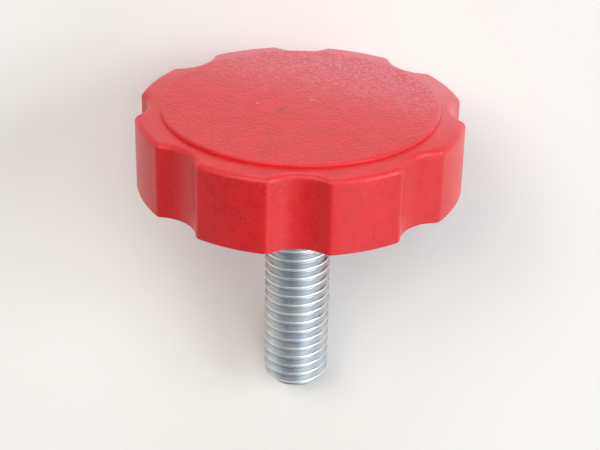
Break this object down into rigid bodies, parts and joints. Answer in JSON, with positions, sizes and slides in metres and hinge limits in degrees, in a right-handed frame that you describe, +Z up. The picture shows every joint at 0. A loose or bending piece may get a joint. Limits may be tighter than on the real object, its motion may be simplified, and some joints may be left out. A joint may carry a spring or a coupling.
{
  "type": "star knob",
  "caption": "Round lobed hand knob in moulded plastic with a grained raised face and a threaded steel stud.",
  "frame": {"origin": "centre of the stud where it leaves the hub's face", "axes": "+Z up; the knob lies on two lobe corners of its skirt and on the tip of its stud, with its axis in the YZ plane, the head towards +Y and raised, the tip towards -Y"},
  "size_m": [0.0586, 0.0668, 0.0577],
  "materials": {
    "red_plastic": "moulded, fine matte texture with a leather-like grain on the raised face",
    "zinc_plated_steel": "bright zinc plating"
  },
  "bodies": {
    "root": {"knob_head": "red_plastic", "threaded_stud": "zinc_plated_steel"}
  },
  "joints": []
}
